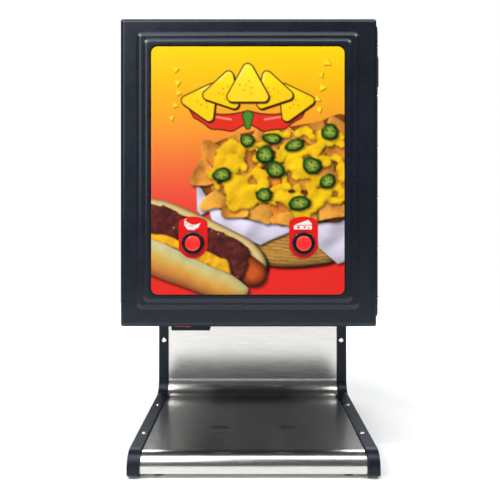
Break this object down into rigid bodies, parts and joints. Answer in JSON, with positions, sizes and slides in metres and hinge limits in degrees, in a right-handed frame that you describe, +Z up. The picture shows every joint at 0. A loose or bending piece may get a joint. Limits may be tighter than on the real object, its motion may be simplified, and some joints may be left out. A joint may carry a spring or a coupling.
{
  "type": "nacho cheese dispenser",
  "caption": "Countertop dispenser for warm cheese and chili sauce: black cabinet with a printed side-hinged door and push buttons, standing on a stainless serving stand.",
  "frame": {"origin": "centre of the footprint, on the counter under the rubber feet", "axes": "+Z up, -Y the front with the door and buttons, +X the hinge side (right as the user faces it)"},
  "size_m": [0.4043, 0.4066, 0.6988],
  "materials": {
    "black_shell": "satin powder coat",
    "black_moulding": "fine-textured moulding",
    "door_plastic": "satin formed sheet",
    "stainless": "brushed",
    "inner_steel": "mill finish",
    "screw_steel": "bright plated",
    "hinge_steel": "satin black coat",
    "rubber_black": "matte",
    "gland_nylon": "matte",
    "graphic": "printed, glossy laminate",
    "button_black": "gloss",
    "button_red": "gloss",
    "rocker_red": "gloss, lit",
    "rocker_dark": "gloss",
    "white_acetal": "satin",
    "pump_black": "satin",
    "pump_blue": "satin",
    "rotor_grey": "machined",
    "roller_white": "satin",
    "motor_can": "plated",
    "heater_alloy": "mill finish",
    "board_green": "solder mask",
    "magnet_black": "matte"
  },
  "bodies": {
    "cabinet": {"cabinet_shell": "black_shell", "cabinet_floor": "black_shell", "cabinet_back": "black_shell", "column_back": "black_shell", "wiring_cover": "black_shell", "side_rail_left": "black_moulding", "side_rail_right": "black_moulding", "switch_pod": "black_moulding", "stand_sheet": "stainless", "bag_tray_left": "stainless", "bag_tray_right": "stainless", "center_divider": "stainless", "pump_deck": "inner_steel", "plenum_panel": "inner_steel", "tray_rails": "inner_steel", "stand_frames": "inner_steel", "base_pan": "inner_steel", "rail_screws": "screw_steel", "panel_screws": "screw_steel", "hinge_screws_cabinet": "screw_steel", "cabinet_bolts": "screw_steel", "hinge_pin": "screw_steel", "fan_guard": "screw_steel", "hinge_leaf_cabinet": "hinge_steel", "rubber_feet": "rubber_black", "cord_gland": "gland_nylon", "nozzle_guides": "white_acetal", "pump_body_left": "pump_black", "pump_body_right": "pump_black", "fan_frame": "pump_black", "gearmotor_left": "motor_can", "gearmotor_right": "motor_can", "heater_element": "heater_alloy", "power_supply": "heater_alloy", "control_board": "board_green", "catch_magnets": "magnet_black"},
    "door": {"door_skin": "door_plastic", "door_inner_pan": "inner_steel", "door_gasket": "rubber_black", "graphic_panel": "graphic", "button_bezel_left": "button_black", "button_bezel_right": "button_black", "button_nuts": "button_black", "button_switches": "button_black", "switch_cover": "inner_steel", "hinge_leaf_door": "hinge_steel", "hinge_screws_door": "screw_steel"},
    "fan": {"fan_rotor": "pump_black"},
    "power_switch": {"power_rocker": "rocker_red"},
    "purge_switch": {"purge_rocker": "rocker_dark"},
    "button_left": {"button_plunger_left": "button_red"},
    "button_right": {"button_plunger_right": "button_red"},
    "pump_drive_left": {"pump_rotor_left": "rotor_grey"},
    "gate_left": {"pump_gate_left": "pump_blue"},
    "roller_left_lower": {"pump_roller_left_lower": "roller_white"},
    "roller_left_upper": {"pump_roller_left_upper": "roller_white"},
    "pump_drive_right": {"pump_rotor_right": "rotor_grey"},
    "gate_right": {"pump_gate_right": "pump_blue"},
    "roller_right_lower": {"pump_roller_right_lower": "roller_white"},
    "roller_right_upper": {"pump_roller_right_upper": "roller_white"}
  },
  "joints": [
    {"name": "door_swing", "type": "hinge", "parent": "cabinet", "child": "door", "pos_m": [0.1926, -0.156, 0.4645], "axis": [0, 0, 1], "range_deg": [0, 120]},
    {"name": "button_left_press", "type": "slide", "parent": "door", "child": "button_left", "axis": [0, 1, 0], "range_m": [0, 0.003], "stiffness_N_per_m": 350, "springref_m": -0.004},
    {"name": "button_right_press", "type": "slide", "parent": "door", "child": "button_right", "axis": [0, 1, 0], "range_m": [0, 0.003], "stiffness_N_per_m": 350, "springref_m": -0.004},
    {"name": "power_rock", "type": "hinge", "parent": "cabinet", "child": "power_switch", "pos_m": [-0.1138, -0.115, 0.221], "axis": [0, 0, 1], "range_deg": [0, 16]},
    {"name": "purge_rock", "type": "hinge", "parent": "cabinet", "child": "purge_switch", "pos_m": [-0.086, -0.115, 0.221], "axis": [0, 0, 1], "range_deg": [-8, 8], "stiffness_Nm_per_rad": 0.05},
    {"name": "pump_turn_left", "type": "hinge", "parent": "cabinet", "child": "pump_drive_left", "pos_m": [-0.033, -0.092, 0.3], "axis": [0, 1, 0], "continuous": true},
    {"name": "gate_left_swing", "type": "hinge", "parent": "cabinet", "child": "gate_left", "pos_m": [-0.084, -0.092, 0.266], "axis": [0, -1, 0], "range_deg": [0, 40]},
    {"name": "roller_left_lower_spin", "type": "hinge", "parent": "pump_drive_left", "child": "roller_left_lower", "pos_m": [-0.033, -0.092, 0.2845], "axis": [0, 1, 0], "continuous": true},
    {"name": "roller_left_upper_spin", "type": "hinge", "parent": "pump_drive_left", "child": "roller_left_upper", "pos_m": [-0.033, -0.092, 0.3155], "axis": [0, 1, 0], "continuous": true},
    {"name": "pump_turn_right", "type": "hinge", "parent": "cabinet", "child": "pump_drive_right", "pos_m": [0.033, -0.092, 0.3], "axis": [0, 1, 0], "continuous": true},
    {"name": "gate_right_swing", "type": "hinge", "parent": "cabinet", "child": "gate_right", "pos_m": [0.084, -0.092, 0.266], "axis": [0, 1, 0], "range_deg": [0, 40]},
    {"name": "roller_right_lower_spin", "type": "hinge", "parent": "pump_drive_right", "child": "roller_right_lower", "pos_m": [0.033, -0.092, 0.2845], "axis": [0, 1, 0], "continuous": true},
    {"name": "roller_right_upper_spin", "type": "hinge", "parent": "pump_drive_right", "child": "roller_right_upper", "pos_m": [0.033, -0.092, 0.3155], "axis": [0, 1, 0], "continuous": true},
    {"name": "fan_spin", "type": "hinge", "parent": "cabinet", "child": "fan", "pos_m": [0, 0.163, 0.59], "axis": [0, 1, 0], "continuous": true}
  ],
  "couplings": [
    {"joint": "roller_left_lower_spin", "follows": "pump_turn_left", "ratio": -3.3846},
    {"joint": "roller_left_upper_spin", "follows": "pump_turn_left", "ratio": -3.3846},
    {"joint": "roller_right_lower_spin", "follows": "pump_turn_right", "ratio": -3.3846},
    {"joint": "roller_right_upper_spin", "follows": "pump_turn_right", "ratio": -3.3846}
  ]
}
